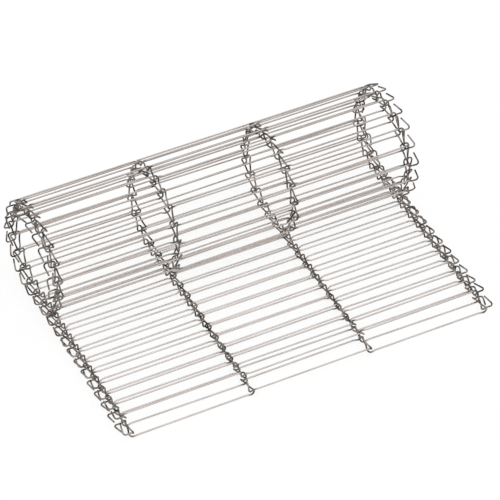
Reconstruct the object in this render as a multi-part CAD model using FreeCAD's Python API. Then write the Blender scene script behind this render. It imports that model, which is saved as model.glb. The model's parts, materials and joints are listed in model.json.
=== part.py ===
"""Wire conveyor belt: an endless belt of bent wire strands, pressed flat into two layers and rolled up.

Every strand is one straight-cut wire with a Z bend at each column of joints and a loop at both edges.
Each strand clasps the next at its Z bends, so the belt hinges once per pitch about lines across its width.
"""
import FreeCAD
import Part
import math
import os

# Driving dimensions of the strand, in millimetres
PITCH = 12.7            # from one strand to the next along the belt
WIRE = 1.27             # wire diameter
SECTION = 98.0          # between neighbouring columns of joints
COLUMNS = 4             # two inner columns and two at the edges
EDGE_LOOP = 7.0         # reach of an edge loop outside its column
LEFT_LEAN = 2.0         # the left loop's cut end leans this far back towards the belt
RIGHT_LEAN = 3.4        # the right loop's cut end leans more
TAIL_LENGTH = 10.2      # cut end of an edge loop, measured along the belt
CLASP = 3.5             # overlap of two strands where they hook each other in the flat belt
LEG_SIDESTEP = 4.5      # sideways lean of a leg between its two runs
PLANE_STEP = 2.6        # legs stand this far above the runs
RAMP = 2.5              # a run climbs to its leg over this width

# How the belt lies
FLAT_PITCHES = 13
ROLL_PITCHES = 17
ROLL_PITCH = 13.0       # the strands of the roll hang a little further apart
ROLL_HALF_DEPTH = 43.5  # the roll sags to an ellipse, measured at the middle of its two layers
ROLL_HALF_HEIGHT = 38.2
LAYER_GAP = 0.8         # clear space between the legs of the two layers
LAYER_SHIFT = 4.5       # the lower layer lies this far to the right of the upper one
LAYER_DRIFT = 0.4       # and drifts there by this much with each pitch away from a fold
FOLD_BULGE = 2.4        # extra height of the loop beside its two folds
FOLD_PITCH = 11.7       # the strands of a fold are pulled closer together
FOLD_RISE = 2.8         # at a fold the upper hooks sit this far above the lower ones
FOLD_REACH = 1.6        # and this far outside them
BULGE_HALVING = 0.5     # the bulge halves with each pitch away from a fold

WIRE_SIDES = 6
BISECTIONS = 40
LENGTH = PITCH + CLASP
STATIONS = FLAT_PITCHES + ROLL_PITCHES
LAYER_STEP = PLANE_STEP + WIRE + LAYER_GAP
# A hexagon with the area of the round wire keeps the strand's weight
HEX_RADIUS = WIRE / 2 * math.sqrt(2 * math.pi / (WIRE_SIDES * math.sin(2 * math.pi / WIRE_SIDES)))


def strand_path():
    """Corner points of one strand about its own centre: runs low, legs high, loops at the back."""
    half_length = LENGTH / 2
    half_lean = LEG_SIDESTEP / 2
    half_step = PLANE_STEP / 2
    edge_column = SECTION * (COLUMNS - 1) / 2
    left = -edge_column - EDGE_LOOP
    right = edge_column + EDGE_LOOP
    tail_y = half_length - TAIL_LENGTH
    points = [(left + LEFT_LEAN, tail_y, -half_step), (left, half_length, -half_step)]
    row = half_length
    for column in range(COLUMNS):
        x = SECTION * (column - (COLUMNS - 1) / 2)
        points.append((x + half_lean - RAMP, row, -half_step))
        points.append((x + half_lean, row, half_step))
        row = -row
        points.append((x - half_lean, row, half_step))
        points.append((x - half_lean + RAMP, row, -half_step))
    points.append((right, half_length, -half_step))
    points.append((right - RIGHT_LEAN, tail_y, -half_step))
    return [FreeCAD.Vector(*point) for point in points]


def first_ring(start, direction):
    """Wire section at a cut end, with flats facing up and down."""
    up = FreeCAD.Vector(0, 0, 1)
    side = direction.cross(up).normalize()
    ring = []
    for corner in range(WIRE_SIDES):
        angle = 2 * math.pi * corner / WIRE_SIDES
        ring.append(start + side * (HEX_RADIUS * math.cos(angle)) + up * (HEX_RADIUS * math.sin(angle)))
    return ring


def carry_ring(ring, direction, point, normal):
    """Slide a wire section along its run to the plane through point."""
    return [corner + direction * ((point - corner).dot(normal) / direction.dot(normal)) for corner in ring]


def polygon_face(corners):
    return Part.Face(Part.makePolygon(corners + corners[:1]))


def wire_solid(points):
    """Closed solid of a wire that is mitred at every bend."""
    directions = [(b - a).normalize() for a, b in zip(points, points[1:])]
    rings = [first_ring(points[0], directions[0])]
    for index, direction in enumerate(directions):
        following = directions[min(index + 1, len(directions) - 1)]
        rings.append(carry_ring(rings[-1], direction, points[index + 1], direction + following))
    faces = [polygon_face(rings[0][::-1]), polygon_face(rings[-1])]
    for near, far in zip(rings, rings[1:]):
        for corner in range(WIRE_SIDES):
            beside = (corner + 1) % WIRE_SIDES
            faces.append(polygon_face([near[corner], near[beside], far[beside], far[corner]]))
    return Part.Solid(Part.Shell(faces))


def roll_line(bottom, angle):
    """Middle of the two layers on the roll and the direction into it; the angle runs from its lowest point."""
    reach = FreeCAD.Vector(0, ROLL_HALF_DEPTH * math.sin(angle), ROLL_HALF_HEIGHT * (1 - math.cos(angle)))
    inward = FreeCAD.Vector(0, -math.sin(angle) / ROLL_HALF_DEPTH, math.cos(angle) / ROLL_HALF_HEIGHT)
    return bottom + reach, inward.normalize()


def next_roll_angle(bottom, angle, length):
    """Angle of the joint that lies one strand further round the roll, found by halving."""
    low = angle
    high = angle + math.pi / 4
    start = roll_line(bottom, angle)[0]
    for _ in range(BISECTIONS):
        middle = (low + high) / 2
        if (roll_line(bottom, middle)[0] - start).Length < length:
            low = middle
        else:
            high = middle
    return low


def joint_lines():
    """Middle of the two layers at every joint, with the direction from the lower to the upper layer."""
    height = WIRE / 2 + PLANE_STEP / 2 + LAYER_STEP / 2
    up = FreeCAD.Vector(0, 0, 1)
    lines = [(FreeCAD.Vector(0, PITCH - FOLD_PITCH, height), up)]
    for joint in range(1, FLAT_PITCHES + 1):
        lines.append((FreeCAD.Vector(0, PITCH * joint, height), up))
    bottom = lines[-1][0]
    angle = 0.0
    for joint in range(FLAT_PITCHES + 1, STATIONS + 1):
        angle = next_roll_angle(bottom, angle, FOLD_PITCH if joint == STATIONS else ROLL_PITCH)
        lines.append(roll_line(bottom, angle))
    return lines


def layer_hooks():
    """Hook centres of the lower and the upper layer at every joint; the folds close both ends."""
    lines = joint_lines()
    from_fold = [min(joint, STATIONS - joint) for joint in range(STATIONS + 1)]
    lower = []
    upper = []
    for pitches, (middle, inward) in zip(from_fold, lines):
        hook = middle - inward * (LAYER_STEP / 2)
        lower.append(hook)
        upper.append(hook + inward * (LAYER_STEP + FOLD_BULGE * BULGE_HALVING ** (pitches - 1)))
    for end, inner in ((0, 1), (STATIONS, STATIONS - 1)):
        outward = (lower[end] - lower[inner]).normalize()
        inward = outward.cross(FreeCAD.Vector(1, 0, 0))
        inward = inward * math.copysign(1, inward.dot(lines[end][1]))
        upper[end] = lower[end] + inward * FOLD_RISE + outward * FOLD_REACH
    for pitches, hook in zip(from_fold, lower):
        hook.x = min(LAYER_SHIFT, LAYER_DRIFT * pitches)
    return lower, upper


def placed(strand, front, back, turned_over):
    """A copy of the strand between two hook centres; the upper layer's strands lie turned over."""
    along = back - front
    angle = math.degrees(math.atan2(along.z, along.y)) + (180 if turned_over else 0)
    copy = strand.copy()
    turn = FreeCAD.Rotation(FreeCAD.Vector(1, 0, 0), angle)
    copy.Placement = FreeCAD.Placement((front + back) * 0.5, turn)
    return copy


def belt():
    """Every strand by name, with the origin under the middle of the whole, and the joints' places."""
    strand = wire_solid(strand_path())
    lower, upper = layer_hooks()
    strands = {}
    for layer, hooks in (("lower", lower), ("upper", upper)):
        for station in range(STATIONS):
            name = f"{layer}_strand_{station + 1:02d}"
            strands[name] = placed(strand, hooks[station], hooks[station + 1], layer == "upper")
    box = Part.makeCompound(list(strands.values())).BoundBox
    shift = FreeCAD.Vector(-box.Center.x, -box.Center.y, -box.ZMin)
    for shape in strands.values():
        shape.translate(shift)
    joints = [(low + high) * 0.5 + shift for low, high in zip(lower, upper)]
    return strands, joints


def main():
    os.makedirs("parts", exist_ok=True)
    strands, _ = belt()
    for name, shape in strands.items():
        shape.exportStep(f"parts/{name}.step")
    box = Part.makeCompound(list(strands.values())).BoundBox
    one = strands["lower_strand_01"]
    print(f"{len(strands)} strands, belt {box.XLength:.1f} x {box.YLength:.1f} x {box.ZLength:.1f} mm")
    print(f"strand volume {one.Volume:.1f} mm3, valid {one.isValid()}, faces {len(one.Faces)}")


if __name__ == "__main__":
    main()
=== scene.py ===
# %% [markdown]
# # A rolled wire conveyor belt
# This belt is nothing but bent wire. Sixty strands of stainless spring wire lie across it, and each one
# hooks into the next at four columns of Z bends, so the belt can roll up about any line across its width.
# It is an endless loop that was pressed flat into two layers and then rolled up from its far end.
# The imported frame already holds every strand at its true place, as a plain six-sided wire with mitred
# corners. This lesson reads the centre line of each strand from the frame, and draws a round, properly
# bent wire on it.

import json
import math
import random
from collections import namedtuple

import bmesh
import bpy
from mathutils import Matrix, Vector


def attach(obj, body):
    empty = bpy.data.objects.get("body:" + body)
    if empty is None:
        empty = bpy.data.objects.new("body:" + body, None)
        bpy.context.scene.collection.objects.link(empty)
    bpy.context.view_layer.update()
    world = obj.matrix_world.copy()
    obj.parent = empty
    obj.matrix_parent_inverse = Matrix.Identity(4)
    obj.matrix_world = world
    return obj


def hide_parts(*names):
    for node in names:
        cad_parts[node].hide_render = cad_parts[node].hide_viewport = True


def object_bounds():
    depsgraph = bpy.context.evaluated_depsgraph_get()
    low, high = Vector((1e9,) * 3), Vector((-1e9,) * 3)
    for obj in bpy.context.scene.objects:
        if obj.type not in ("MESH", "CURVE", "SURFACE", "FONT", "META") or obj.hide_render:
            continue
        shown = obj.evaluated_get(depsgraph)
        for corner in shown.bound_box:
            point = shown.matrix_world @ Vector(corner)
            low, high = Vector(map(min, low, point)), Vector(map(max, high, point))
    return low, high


MM = 0.001                  # the frame is in metres

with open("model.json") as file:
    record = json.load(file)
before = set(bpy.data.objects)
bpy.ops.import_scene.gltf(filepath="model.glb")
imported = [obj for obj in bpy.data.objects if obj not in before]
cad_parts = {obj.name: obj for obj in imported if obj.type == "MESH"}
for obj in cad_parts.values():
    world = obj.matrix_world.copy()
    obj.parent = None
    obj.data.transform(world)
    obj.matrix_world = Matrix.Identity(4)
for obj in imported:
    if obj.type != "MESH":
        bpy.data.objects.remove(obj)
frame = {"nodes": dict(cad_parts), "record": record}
cad_low, cad_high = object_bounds()
print("belt box in mm:", [round(side / MM, 1) for side in cad_high - cad_low])

# %% [markdown]
# ## Where each wire runs
# A strand in the frame is a chain of six-cornered wire sections, one at every bend and one at each cut end.
# Typing the bend points in again would make a second copy of the belt's sizes, and the two could disagree.
# Reading them is safer: corners that share a short edge make one section, the middle of a section is a
# point of the centre line, and the long edges say which section comes next.

# %% Read the bend points of a strand
WELD = 0.001 * MM           # the frame repeats each corner once for every face that meets there
SECTION_EDGE = 1.75 * MM    # edges round a wire section are shorter than this, edges along the wire longer


def wire_sections(welded):
    """Middle of every wire section, and the section that each corner belongs to."""
    section_of = {}
    middles = []
    for first in welded.verts:
        if first in section_of:
            continue
        section_of[first] = len(middles)
        ring = [first]
        for corner in ring:
            for edge in corner.link_edges:
                other = edge.other_vert(corner)
                if edge.calc_length() < SECTION_EDGE and other not in section_of:
                    section_of[other] = len(middles)
                    ring.append(other)
        middles.append(sum((corner.co for corner in ring), Vector()) / len(ring))
    return middles, section_of


def bend_points(node):
    """Points of a strand's centre line, from its left cut end to its right one."""
    welded = bmesh.new()
    welded.from_mesh(node.data)
    bmesh.ops.remove_doubles(welded, verts=welded.verts, dist=WELD)
    middles, section_of = wire_sections(welded)
    beside = [set() for _ in middles]
    for edge in welded.edges:
        one, other = (section_of[corner] for corner in edge.verts)
        if one != other:
            beside[one].add(other)
            beside[other].add(one)
    welded.free()
    ends = [section for section, others in enumerate(beside) if len(others) == 1]
    order = [min(ends, key=lambda section: middles[section].x)]
    while len(order) < len(middles):
        order.append(next(section for section in beside[order[-1]] if section not in order))
    return [middles[section] for section in order]


centre_lines = {name: bend_points(node) for name, node in sorted(frame["nodes"].items())}
print("points on a strand:", {len(points) for points in centre_lines.values()})

# %% [markdown]
# ## From corners to bends
# A wire former turns the wire round small pins, so every bend is an arc and no bend is a corner.
# Blender's bevel modifier can round the corners of a line, but it gives all of them one radius unless each
# carries a weight. Here each bend gets its own radius: a hook, the ramp that runs out of a hook into the
# straight run, or the corner of an edge loop.

# %% Round a bend
ARC_STEPS = 6
HOOK_RADIUS = 1.6 * MM      # of the centre line, where a leg turns into a hook
RAMP_RADIUS = 2.2 * MM      # where the hook runs out into the straight run
LOOP_RADIUS = 2.0 * MM      # at the corner of an edge loop
COLUMN_RADII = [RAMP_RADIUS, HOOK_RADIUS, HOOK_RADIUS, RAMP_RADIUS]
EDGE_POINTS = 4             # a cut end and a loop corner at both edges; the other points belong to columns


def bend_radii(points):
    """Radius of every bend in order: a loop, then ramp, hook, hook and ramp at each column, and a loop."""
    columns = (len(points) - EDGE_POINTS) // len(COLUMN_RADII)
    return [LOOP_RADIUS] + COLUMN_RADII * columns + [LOOP_RADIUS]


def arc(before, corner, after, radius):
    """Points of the arc that rounds one corner."""
    to_before = (before - corner).normalized()
    to_after = (after - corner).normalized()
    half = to_before.angle(to_after) / 2
    middle = corner + (to_before + to_after).normalized() * (radius / math.sin(half))
    reach = radius / math.tan(half)
    start = (corner + to_before * reach - middle).normalized()
    end = (corner + to_after * reach - middle).normalized()
    return [middle + start.slerp(end, step / ARC_STEPS) * radius for step in range(ARC_STEPS + 1)]


trial_points = centre_lines["lower_strand_01"]
print("bends on a strand:", len(bend_radii(trial_points)))

# %% [markdown]
# ## The long runs
# Between two columns a strand runs across the belt, and only its hooks hold it. The runs of the two layers
# lie side by side in the flat part of this belt, as if rolling it up had dragged them out of line.
# A straight tube from hook to hook would put them exactly above each other. So each run bends aside within
# a few millimetres of its hook, lies there nearly straight, and bends back at the next hook. The hooks stay
# where the frame has them.

# %% Draw a run
CREEP = 1.3 * MM            # the flat part's runs lie this far out of line with their hooks
CREEP_PITCHES = 6           # the creep grows over this many pitches behind the front fold
FLAT_PITCHES = 13           # the roll starts after these
ROLL_CREEP = 0.4            # share of the creep that is left in the roll
RUN_STRAY = 0.6 * MM        # each end of a run strays by up to this as well
RUN_LIFT = 0.4 * MM         # and the run lies up to this higher, since the lowest runs are on the table
KNEE = 4.5 * MM             # over this length a run comes back into line with a hook
KNEE_STEPS = 6
MIDWAY = 0.5                # one more point in the middle of a run
FADE = 2.5 * MM             # the duller skin and the painted shade of the bends end this far into a run
FIRST_LEG = 3               # the bend point where the strand's first leg starts

LinePoint = namedtuple("LinePoint", "place formed")


def run_offset(points, pitch):
    """How far, and which way along the belt, a strand's runs are out of line."""
    leg = points[FIRST_LEG] - points[FIRST_LEG + 1]
    share = ROLL_CREEP if pitch > FLAT_PITCHES else min(1.0, pitch / CREEP_PITCHES)
    return Vector((0, leg.y, leg.z)).normalized() * (CREEP * share)


def drawn_run(start, end, offset, draw):
    """Points of a run between two hooks, a little out of line; the duller skin and painted shade of the
    bends fade out on it.
    """
    along = end - start
    aside = offset.normalized()
    near = offset + aside * draw.uniform(-RUN_STRAY, RUN_STRAY)
    far = offset + aside * draw.uniform(-RUN_STRAY, RUN_STRAY)
    lift = Vector((0, 0, draw.uniform(0, RUN_LIFT)))
    knee = [KNEE / along.length * step / KNEE_STEPS for step in range(1, KNEE_STEPS + 1)]
    line = []
    for share in knee + [MIDWAY] + [1 - share for share in reversed(knee)]:
        from_hook = min(share, 1 - share) * along.length
        slack = (1 - math.cos(math.pi * min(1.0, from_hook / KNEE))) / 2
        place = start + along * share + (near.lerp(far, share) + lift) * slack
        line.append(LinePoint(place, max(0.0, 1 - from_hook / FADE)))
    return line


trial_offset = run_offset(trial_points, FLAT_PITCHES)
trial_run = drawn_run(Vector((0, 0, 0)), Vector((100 * MM, 0, 0)), trial_offset, random.Random(0))
print("points on a run:", len(trial_run), "out of line by mm:", round(trial_offset.length / MM, 2))

# %% [markdown]
# ## The legs
# At each column the wire turns and runs along the belt to the next strand: that is a leg, with a hook at
# both ends. Spring wire gives a little when the former lets go of it, so a leg is never quite straight.
# One full turn of a sine wave gives it a slight S and leaves both of its ends in the hooks.

# %% Draw a leg
LEG_SPRING = 0.3 * MM       # how far a leg springs back beside its hooks
LEG_STEPS = 6


def sprung_leg(start, end):
    """Points of a leg between two hooks."""
    aside = Vector((-LEG_SPRING, 0, 0))
    line = []
    for step in range(1, LEG_STEPS):
        share = step / LEG_STEPS
        place = start.lerp(end, share) + aside * math.sin(2 * math.pi * share)
        line.append(LinePoint(place, 1.0))
    return line


print("points on a leg:", len(sprung_leg(Vector((0, 0, 0)), Vector((0, 10 * MM, 0)))))

# %% [markdown]
# ## The edge loops
# At both edges the wire turns back in a loop and is cut off. Nothing holds the cut end, so no two loops
# lean quite alike. One exact copy after the other would look stamped. Small random moves give the lean, and
# a seeded draw makes the same moves each time. They go aside, up, and back from the cut end, so no loop
# sinks into the table.

# %% Bend the edge loops
LOOP_STRAY = 0.4 * MM       # the corners of the edge loops stray this far
TAIL_STRAY = 0.8 * MM       # and their cut ends twice as far


def strayed_loop(cut_end, corner, draw):
    """Cut end and corner of an edge loop, moved a little aside, up, and back from the cut end."""
    back = (corner - cut_end).normalized()
    up = back.cross(Vector((1, 0, 0)))
    up.normalize()
    up *= math.copysign(1, up.z)
    moved = []
    for point, stray in ((cut_end, TAIL_STRAY), (corner, LOOP_STRAY)):
        aside = Vector((draw.uniform(-stray, stray), 0, 0))
        moved.append(point + aside + up * draw.uniform(0, stray) + back * draw.uniform(0, stray))
    return moved


def strayed(points, draw):
    """The strand's points with both edge loops a little out of place."""
    left = strayed_loop(points[0], points[1], draw)
    right = strayed_loop(points[-1], points[-2], draw)
    return left + points[2:-2] + right[::-1]


trial_move = strayed(trial_points, random.Random(0))[0] - trial_points[0]
print("a cut end strays by mm:", [round(side / MM, 2) for side in trial_move])

# %% [markdown]
# ## A whole strand
# Arcs, runs and legs make one line, from the left cut end to the right one. The pieces could be listed one
# by one for each column, but the length of the straight stretch between two bends already says what it is:
# a run is far longer than a leg, and a leg is longer than the stub of a loop. The tails of the loops stay
# straight. Every point also says how much the wire was formed, because the finish makes formed places
# duller and paints shade on them.

# %% Put a strand together
RUN_LENGTH = 60 * MM        # a straight stretch longer than this is a run across a section
LEG_LENGTH = 8 * MM         # one longer than this, between two bends, is a leg
SECTION_CREEP = (1.0, 0.5, 1.0)     # the middle section, held at both sides, creeps less than the outer two


def formed_line(points, pitch, draw):
    """Smooth centre line of a strand; formed is 1 on bends, legs and loops and 0 on the straight runs."""
    points = strayed(points, draw)
    corners = zip(points, points[1:], points[2:], bend_radii(points))
    bends = [[points[0]]] + [arc(*corner) for corner in corners] + [[points[-1]]]
    offset = run_offset(points, pitch)
    section_creep = iter(SECTION_CREEP)
    line = [LinePoint(points[0], 1.0)]
    for bend, following in zip(bends, bends[1:]):
        gap = (following[0] - bend[-1]).length
        tail = len(bend) == 1 or len(following) == 1
        if gap > RUN_LENGTH:
            line += drawn_run(bend[-1], following[0], offset * next(section_creep), draw)
        elif gap > LEG_LENGTH and not tail:
            line += sprung_leg(bend[-1], following[0])
        line += [LinePoint(place, 1.0) for place in following]
    return line


trial_line = formed_line(trial_points, pitch=1, draw=random.Random(0))
unmarked = sum(point.formed == 0 for point in trial_line)
print("points on a formed strand:", len(trial_line), "of them without marks of forming:", unmarked)

# %% [markdown]
# ## Round wire
# The wire is drawn through a die, so its section is a true circle, and each strand is sheared off at both
# ends. A bevelled curve would give the tube as well, but not the rolled edge of the cut. Here a circle is
# carried along the line, turned at each point only as much as the line turns, so the wire has no twist.

# %% Carry a circle along a line
WIRE_RADIUS = 0.635 * MM
CUT_CHAMFER = 0.15 * MM     # the shear rolls the edge of the cut over

Ring = namedtuple("Ring", "middle radius side across tangent along formed")


def wire_rings(line, start):
    """Rings along a line, carried without twist, with a rolled edge at both cuts."""
    places = [point.place for point in line]
    after_each = places[1:] + places[-1:]
    before_each = places[:1] + places[:-1]
    tangents = [(after - before).normalized() for before, after in zip(before_each, after_each)]
    side = tangents[0].orthogonal().normalized()
    along = start
    rings = []
    for index, point in enumerate(line):
        tangent = tangents[index]
        if index:
            side = tangents[index - 1].rotation_difference(tangent) @ side
            along += (point.place - places[index - 1]).length
        across = tangent.cross(side)
        rings.append(Ring(point.place, WIRE_RADIUS, side, across, tangent, along, point.formed))
    cut_radius = WIRE_RADIUS - CUT_CHAMFER
    first, last = rings[0], rings[-1]
    rings[0] = first._replace(middle=first.middle + first.tangent * CUT_CHAMFER)
    rings[-1] = last._replace(middle=last.middle - last.tangent * CUT_CHAMFER)
    return [first._replace(radius=cut_radius)] + rings + [last._replace(radius=cut_radius)]


trial_rings = wire_rings(trial_line, 0.0)
print("wire in one strand in mm:", round(trial_rings[-1].along / MM, 1))

# %% [markdown]
# ## Skin of the wire
# The rings become one closed mesh: a row of faces between each two rings, and a disc at both cuts, which
# stays flat shaded. The mesh also carries two things that the finish needs: a map in real lengths along and
# around the wire, and how much the wire was formed. Marking them here is simpler than finding them again in
# the shader.

# %% Skin the rings
WIRE_SIDES = 12
CUT_SLANT = 0.2             # the shear cuts a little askew, given as a slope


def ring_corners(ring, slope):
    """Corners of one ring; a slope tilts it, as at a cut end."""
    corners = []
    for step in range(WIRE_SIDES):
        angle = 2 * math.pi * step / WIRE_SIDES
        spoke = ring.side * math.cos(angle) + ring.across * math.sin(angle)
        tilt = ring.tangent * (slope * math.cos(angle))
        corners.append(ring.middle + (spoke + tilt) * ring.radius)
    return corners


def wire_skin(rings):
    """Faces of a wire, and the place of each face's corners along and around it."""
    last = len(rings) - 1
    round_wire = 2 * math.pi * WIRE_RADIUS
    faces = [tuple(reversed(range(WIRE_SIDES)))]
    places = [(rings[0].along, 0.0)] * WIRE_SIDES
    for index in range(last):
        near = index * WIRE_SIDES
        far = near + WIRE_SIDES
        near_along = rings[index].along
        far_along = rings[index + 1].along
        for step in range(WIRE_SIDES):
            beside = (step + 1) % WIRE_SIDES
            faces.append((near + step, near + beside, far + beside, far + step))
            low = round_wire * step / WIRE_SIDES
            high = round_wire * (step + 1) / WIRE_SIDES
            places += [(near_along, low), (near_along, high), (far_along, high), (far_along, low)]
    faces.append(tuple(range(last * WIRE_SIDES, (last + 1) * WIRE_SIDES)))
    places += [(rings[last].along, 0.0)] * WIRE_SIDES
    return faces, places


def wire_mesh(name, rings):
    """Closed mesh of one wire, with its map and the mark of where it was formed, which also carries the
    bends' painted shade.
    """
    cuts = (0, len(rings) - 1)
    corners = []
    for index, ring in enumerate(rings):
        corners += ring_corners(ring, CUT_SLANT if index in cuts else 0.0)
    faces, places = wire_skin(rings)
    mesh = bpy.data.meshes.new(name)
    mesh.from_pydata(corners, [], faces)
    wire_map = mesh.uv_layers.new(name="wire_map")
    wire_map.data.foreach_set("uv", [value for place in places for value in place])
    formed = mesh.attributes.new("formed", "FLOAT", "POINT")
    formed.data.foreach_set("value", [ring.formed for ring in rings for _ in range(WIRE_SIDES)])
    mesh.polygons.foreach_set("use_smooth", [len(face) < WIRE_SIDES for face in faces])
    return mesh


trial_mesh = wire_mesh("trial_wire", trial_rings)
print("faces on one wire:", len(trial_mesh.polygons))
bpy.data.meshes.remove(trial_mesh)

# %% [markdown]
# ## Drawn stainless spring wire
# The wire is austenitic stainless steel, drawn cold and left bright. Drawing leaves fine scratches along
# it, so the straight runs are a warm light grey with a soft sheen and long faint streaks. The former's pins
# rub the bends and legs dull, and these are painted much darker, in patches: painted shade, with lighter
# patches as painted highlights.
# An image could carry all this, but nodes that read the wire's own map follow it round every bend and need
# no file. A material starts empty here, and one function adds each node with what feeds it.

# %% Start the finish
def linear(colour):
    """Linear colour of an sRGB hex value."""
    channels = [int(colour[place:place + 2], 16) / 255 for place in (1, 3, 5)]
    return [c / 12.92 if c <= 0.04045 else ((c + 0.055) / 1.055) ** 2.4 for c in channels] + [1.0]


def add_node(tree, kind, settings=None, values=None, links=None):
    """Add a node with its settings, its plain input values and the sockets that feed it."""
    node = tree.nodes.new(kind)
    for name, value in (settings or {}).items():
        setattr(node, name, value)
    for socket, value in (values or {}).items():
        node.inputs[socket].default_value = value
    for socket, source in (links or {}).items():
        tree.links.new(source, node.inputs[socket])
    return node


wire_finish = bpy.data.materials.new("drawn_stainless_wire")
wire_finish.use_nodes = True
steel = wire_finish.node_tree
steel.nodes.clear()
wire_map = add_node(steel, "ShaderNodeUVMap", {"uv_map": "wire_map"}).outputs["UV"]
# how much the wire was formed: it makes the skin duller and carries the painted shade of the bends
formed = add_node(steel, "ShaderNodeAttribute", {"attribute_name": "formed"}).outputs["Fac"]
print("finish:", wire_finish.name)

# %% [markdown]
# ### Scratches and patches
# Three noises make all the unevenness of the finish, each at a real size: the scratches of the die, which
# are long and narrow, patches of tone along a run, and smaller patches of painted highlight and shade on
# the bends.
# A noise that is stretched along the wire gives scratches without drawing any of them.

# %% Make the scratches and patches
STREAK_LENGTH = 18 * MM     # scratches of the die
STREAK_WIDTH = 0.22 * MM    # real ones are ten times finer, and are drawn this coarse so that they show
STREAK_NOISE = {"Scale": 1.0, "Detail": 3.0, "Roughness": 0.6}
BLOTCH = 30 * MM            # patches of tone along a run
SHADE_PATCH = 6 * MM                # patches of painted highlight and deeper painted shade on the bends
PATCH_DETAIL = 2.0

streak_scale = (1 / STREAK_LENGTH, 1 / STREAK_WIDTH, 1)
streak_map = add_node(steel, "ShaderNodeMapping", values={"Scale": streak_scale},
                      links={"Vector": wire_map}).outputs["Vector"]
streaks = add_node(steel, "ShaderNodeTexNoise", values=STREAK_NOISE,
                   links={"Vector": streak_map}).outputs["Fac"]
blotches = add_node(steel, "ShaderNodeTexNoise", values={"Scale": 1 / BLOTCH, "Detail": PATCH_DETAIL},
                    links={"Vector": wire_map}).outputs["Fac"]
bend_shade_patches = add_node(steel, "ShaderNodeTexNoise", values={"Scale": 1 / SHADE_PATCH, "Detail": PATCH_DETAIL},
                links={"Vector": wire_map}).outputs["Fac"]
print("sizes in mm: streaks", STREAK_LENGTH / MM, "blotches", BLOTCH / MM, "bend_shade_patches", SHADE_PATCH / MM)

# %% [markdown]
# ### Tone of the runs
# A run goes from a light to a darker warm grey. Half of that comes from the scratches and patches. The
# other half is painted shade of the roll: it changes slowly along the wire's map, one strand after the
# other, so neighbours are alike and the strands of the roll, which shade each other, are painted darker
# than those of the flat part. Every strand could have a grey of its own instead, but that would need sixty
# materials or one more mark on each mesh.

# %% Colour the runs
RUN_GREY = "#CEC7C4"
# dark end of the runs' tone: random blotches and streaks, and the painted shade of the roll
BLOTCH_AND_ROLL_SHADE_GREY = "#9C948E"
STREAK_SHARE = 0.4          # of streaks in the patchy tone, and the rest is blotches
PATCHY_FROM, PATCHY_TO = 0.35, 0.65     # the part of the noise that goes from light to dark
ROLL_SHADE_SHARE = 0.5            # share of the roll's painted shade in a run's tone
COIL_STEP = 0.5             # metres of drawn wire from one strand's start to the next
ROLL_SHADE_PERIOD = 30 * COIL_STEP    # the painted shade goes from light to dark and back once every thirty strands, darker over the roll's strands

TERM_A, TERM_B, TERM_C = 0, 1, 2            # sockets of the maths node
FACTOR = 0                                  # share of B in the mix node
NUMBER_A, NUMBER_B, NUMBER_OUT = 2, 3, 0    # its sockets for numbers
COLOUR_A, COLOUR_B, COLOUR_OUT = 6, 7, 2    # and for colours

uneven = add_node(steel, "ShaderNodeMix", {"data_type": "FLOAT"}, {FACTOR: STREAK_SHARE},
                  {NUMBER_A: blotches, NUMBER_B: streaks}).outputs[NUMBER_OUT]
patchy = add_node(steel, "ShaderNodeMapRange", values={"From Min": PATCHY_FROM, "From Max": PATCHY_TO},
                  links={"Value": uneven}).outputs["Result"]
along_coil = add_node(steel, "ShaderNodeSeparateXYZ", links={"Vector": wire_map}).outputs["X"]
# painted shade of the roll: a slow wave along the wire's map, lighter on the flat part's strands and darker
# on the roll's
roll_shade_angle = add_node(steel, "ShaderNodeMath", {"operation": "MULTIPLY"},
                      {TERM_B: 2 * math.pi / ROLL_SHADE_PERIOD}, {TERM_A: along_coil}).outputs["Value"]
roll_shade_wave = add_node(steel, "ShaderNodeMath", {"operation": "SINE"},
                     links={TERM_A: roll_shade_angle}).outputs["Value"]
roll_shade = add_node(steel, "ShaderNodeMapRange", values={"From Min": 1.0, "From Max": -1.0},
                     links={"Value": roll_shade_wave}).outputs["Result"]
run_tone_and_roll_shade = add_node(steel, "ShaderNodeMix", {"data_type": "FLOAT"}, {FACTOR: ROLL_SHADE_SHARE},
                    {NUMBER_A: patchy, NUMBER_B: roll_shade}).outputs[NUMBER_OUT]
run_greys = {COLOUR_A: linear(RUN_GREY), COLOUR_B: linear(BLOTCH_AND_ROLL_SHADE_GREY)}
run_colour = add_node(steel, "ShaderNodeMix", {"data_type": "RGBA"}, run_greys,
                      {FACTOR: run_tone_and_roll_shade}).outputs[COLOUR_OUT]
print("runs from", RUN_GREY, "to", BLOTCH_AND_ROLL_SHADE_GREY)

# %% [markdown]
# ### Tone of the bends
# The bends, legs and loops are painted in shade, since wire that turns away from the lamps looks darker
# than the runs: a mid grey of painted shade with much darker patches, and its lighter parts stand in for
# highlights. The same noise over the whole wire would darken the runs too. Blending by the mark of forming
# keeps it on bends, legs and loops, and lets it fade out at the start of a run.

# %% Colour the bends
# painted shade of the bends, legs and loops: a mid grey whose lighter patches stand in for highlights, and
# a much darker grey
SHADED_BEND_GREY = "#989089"
DEEP_SHADED_BEND_GREY = "#403C39"
SHADE_PATCH_FROM, SHADE_PATCH_TO = 0.38, 0.63           # the part of the noise that goes from the lighter painted shade to the deeper one

bend_shade_patch_tone = add_node(steel, "ShaderNodeMapRange", values={"From Min": SHADE_PATCH_FROM, "From Max": SHADE_PATCH_TO},
                    links={"Value": bend_shade_patches}).outputs["Result"]
bend_shade_greys = {COLOUR_A: linear(SHADED_BEND_GREY), COLOUR_B: linear(DEEP_SHADED_BEND_GREY)}
bend_shade_colour = add_node(steel, "ShaderNodeMix", {"data_type": "RGBA"}, bend_shade_greys,
                         {FACTOR: bend_shade_patch_tone}).outputs[COLOUR_OUT]
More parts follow.
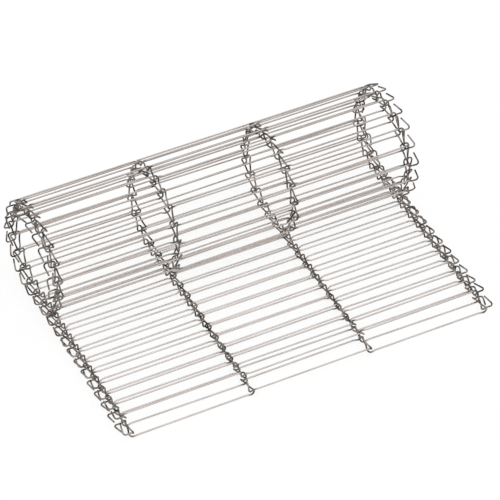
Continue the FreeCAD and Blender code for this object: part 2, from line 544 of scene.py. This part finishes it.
# the mark of forming lays the painted shade over the steel's own grey on bends, legs and loops
colour = add_node(steel, "ShaderNodeMix", {"data_type": "RGBA"}, links={
    FACTOR: formed, COLOUR_A: run_colour, COLOUR_B: bend_shade_colour}).outputs[COLOUR_OUT]
print("bends from", SHADED_BEND_GREY, "to", DEEP_SHADED_BEND_GREY)

# %% [markdown]
# ### Sheen
# Bright drawn steel is fully metallic, with a roughness of about 0.3 and the default index of refraction.
# A metal's colour is its base colour and nothing else, so the written greys go straight in. The scratches
# change the roughness and stand out as a bump of a hundredth of a millimetre, and formed places are duller.

# %% Put the finish together
RUN_ROUGHNESS = {"To Min": 0.24, "To Max": 0.38}
FORMED_ROUGHNESS = 0.14     # more than on a run
BUMP_STRENGTH = 0.5
BUMP_DEPTH = 0.012 * MM

sheen = add_node(steel, "ShaderNodeMapRange", values=RUN_ROUGHNESS,
                 links={"Value": streaks}).outputs["Result"]
roughness = add_node(steel, "ShaderNodeMath", {"operation": "MULTIPLY_ADD"}, {TERM_B: FORMED_ROUGHNESS},
                     {TERM_A: formed, TERM_C: sheen}).outputs["Value"]
bump = add_node(steel, "ShaderNodeBump", values={"Strength": BUMP_STRENGTH, "Distance": BUMP_DEPTH},
                links={"Height": streaks}).outputs["Normal"]
surface = add_node(steel, "ShaderNodeBsdfPrincipled", values={"Metallic": 1.0}, links={
    "Base Color": colour, "Roughness": roughness, "Normal": bump}).outputs["BSDF"]
add_node(steel, "ShaderNodeOutputMaterial", links={"Surface": surface})
print("nodes in the finish:", len(steel.nodes))

# %% [markdown]
# ## All the strands
# In the works one machine forms every strand, and they are hooked together one by one.
# Here a loop does both. Each wire takes the place of its own strand in the frame and rides on the same
# body, so it turns with the hinges. Sixty copies of one mesh would be lighter, but a seeded draw for each
# strand makes no two alike, and the same belt every time.

# %% Make and hook the strands
bodies = frame["record"]["behaviour"]["bodies"]
body_of = {node: body for body, nodes in bodies.items() for node in nodes}

strands = []
for number, (node, points) in enumerate(centre_lines.items()):
    pitch = int(node[-2:])              # a strand's name ends with the number of its pitch
    line = formed_line(points, pitch, random.Random(number))
    wire = wire_mesh(node.replace("strand", "wire"), wire_rings(line, COIL_STEP * number))
    wire.materials.append(wire_finish)
    strand = bpy.data.objects.new(wire.name, wire)
    bpy.context.scene.collection.objects.link(strand)
    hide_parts(node)
    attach(strand, body_of[node])
    strands.append(strand)
print("wires made:", len(strands), "faces:", sum(len(strand.data.polygons) for strand in strands))

# %% [markdown]
# ## Light table
# The belt lies on a pale table in soft, even light. A painted table would do for that, but in a pose that
# swings the belt below the table it would hide the belt. So the table is opal glass: to the camera and in
# reflections most of its white is the white room behind it, and the rest is lit by the lamps, so the belt
# keeps a faint shadow.

# %% Lay the table
TABLE_SIZE = 6.0            # metres, far past the edges of the view
TABLE_WHITE = "#FAF9F8"
ROOM_WHITE = 0.86           # share of the table's white that comes from the room and takes no shadow

LIT, CLEAR = 1, 2           # sockets of the mix shader


def seen_directly(tree):
    """1 for the camera, for reflections and for glass, and 0 for scattered light."""
    path = add_node(tree, "ShaderNodeLightPath")
    mirrored = add_node(tree, "ShaderNodeMath", {"operation": "MAXIMUM"}, links={
        TERM_A: path.outputs["Is Glossy Ray"], TERM_B: path.outputs["Is Transmission Ray"]})
    return add_node(tree, "ShaderNodeMath", {"operation": "MAXIMUM"}, links={
        TERM_A: path.outputs["Is Camera Ray"], TERM_B: mirrored.outputs["Value"]}).outputs["Value"]


table_glass = bpy.data.materials.new("matt_opal_glass")
table_glass.use_nodes = True
glass = table_glass.node_tree
glass.nodes.clear()
room_share = add_node(glass, "ShaderNodeMath", {"operation": "MULTIPLY"}, {TERM_B: ROOM_WHITE},
                      {TERM_A: seen_directly(glass)}).outputs["Value"]
lit = add_node(glass, "ShaderNodeBsdfDiffuse", values={"Color": linear(TABLE_WHITE)}).outputs["BSDF"]
clear = add_node(glass, "ShaderNodeBsdfTransparent").outputs["BSDF"]
opal = add_node(glass, "ShaderNodeMixShader", links={
    FACTOR: room_share, LIT: lit, CLEAR: clear}).outputs["Shader"]
add_node(glass, "ShaderNodeOutputMaterial", links={"Surface": opal})

half = TABLE_SIZE / 2
table_corners = [(-half, -half, 0), (half, -half, 0), (half, half, 0), (-half, half, 0)]
table_mesh = bpy.data.meshes.new("table")
table_mesh.from_pydata(table_corners, [], [(0, 1, 2, 3)])
table_mesh.materials.append(table_glass)
table = bpy.data.objects.new("table", table_mesh)
table.location.z = cad_low.z
bpy.context.scene.collection.objects.link(table)
print("table at", round(table.location.z / MM, 2), "mm")

# %% [markdown]
# ## White room
# Wire this thin shows its colour mostly by what it mirrors. In a studio that would be white walls, and they
# could be modelled. A white world does the same for less: to the camera and in reflections it has a
# strength of one, which is plain white, and to all other light a little less.

# %% Light the room
ROOM_LIGHT = 0.9            # what the room gives to surfaces that scatter light
WALL_WHITE = "#FFFFFF"

room = bpy.data.worlds.new("white_room")
room.use_nodes = True
walls = room.node_tree
walls.nodes.clear()
strength = add_node(walls, "ShaderNodeMapRange", values={"To Min": ROOM_LIGHT, "To Max": 1.0},
                    links={"Value": seen_directly(walls)}).outputs["Result"]
sky = add_node(walls, "ShaderNodeBackground", values={"Color": linear(WALL_WHITE)},
               links={"Strength": strength}).outputs["Background"]
add_node(walls, "ShaderNodeOutputWorld", links={"Surface": sky})
bpy.context.scene.world = room
print("room:", room.name)

# %% [markdown]
# ## Lamps
# Two weak softboxes, one above the belt and one at its left, give the wires a bright side and the table a
# soft shadow. A sun lamp would be simpler, but its hard shadows would double every run. The lamps stay at a
# plain level, because the room already makes the picture bright.

# %% Hang the lamps
Lamp = namedtuple("Lamp", "name place size power")      # metres and watts
LAMPS = [
    Lamp("overhead_softbox", (0.25, -0.35, 1.5), 1.2, 6.0),
    Lamp("left_softbox", (-1.3, -0.6, 1.1), 0.9, 3.0),
]

for lamp in LAMPS:
    light = bpy.data.lights.new(lamp.name, "AREA")
    light.size = lamp.size
    light.energy = lamp.power
    lamp_object = bpy.data.objects.new(lamp.name, light)
    lamp_object.location = lamp.place
    lamp_object.rotation_euler = (-Vector(lamp.place)).to_track_quat("-Z", "Y").to_euler()
    bpy.context.scene.collection.objects.link(lamp_object)
print("lamps:", [lamp.name for lamp in LAMPS])

# %% [markdown]
# ## Camera
# The view looks down on the belt from its front left with a long lens, which keeps the runs nearly
# parallel. A camera could be moved about until the picture looks right. Here the point where the lens axis
# meets the table, the two angles, the distance and the lens were fitted to the places of the hooks.

# %% Place the camera
AZIMUTH = math.radians(26.886)
ELEVATION = math.radians(42.065)
AIM = Vector((0.0192, 0.0361, 0.0))
DISTANCE = 2.841            # metres
IMAGE_SIDE = 500            # pixels
FOCAL_PIXELS = 3707
SENSOR_WIDTH = 36.0         # mm

camera_data = bpy.data.cameras.new("camera")
camera_data.sensor_width = SENSOR_WIDTH
camera_data.lens = FOCAL_PIXELS * SENSOR_WIDTH / IMAGE_SIDE
camera = bpy.data.objects.new("camera", camera_data)
level = Vector((math.sin(AZIMUTH), math.cos(AZIMUTH), 0.0))
sight = level * math.cos(ELEVATION) - Vector((0.0, 0.0, math.sin(ELEVATION)))
camera.location = AIM - sight * DISTANCE
camera.rotation_euler = sight.to_track_quat("-Z", "Y").to_euler()
bpy.context.scene.collection.objects.link(camera)
bpy.context.scene.camera = camera
bpy.context.scene.view_settings.view_transform = "Standard"
print("lens in mm:", round(camera_data.lens, 1))
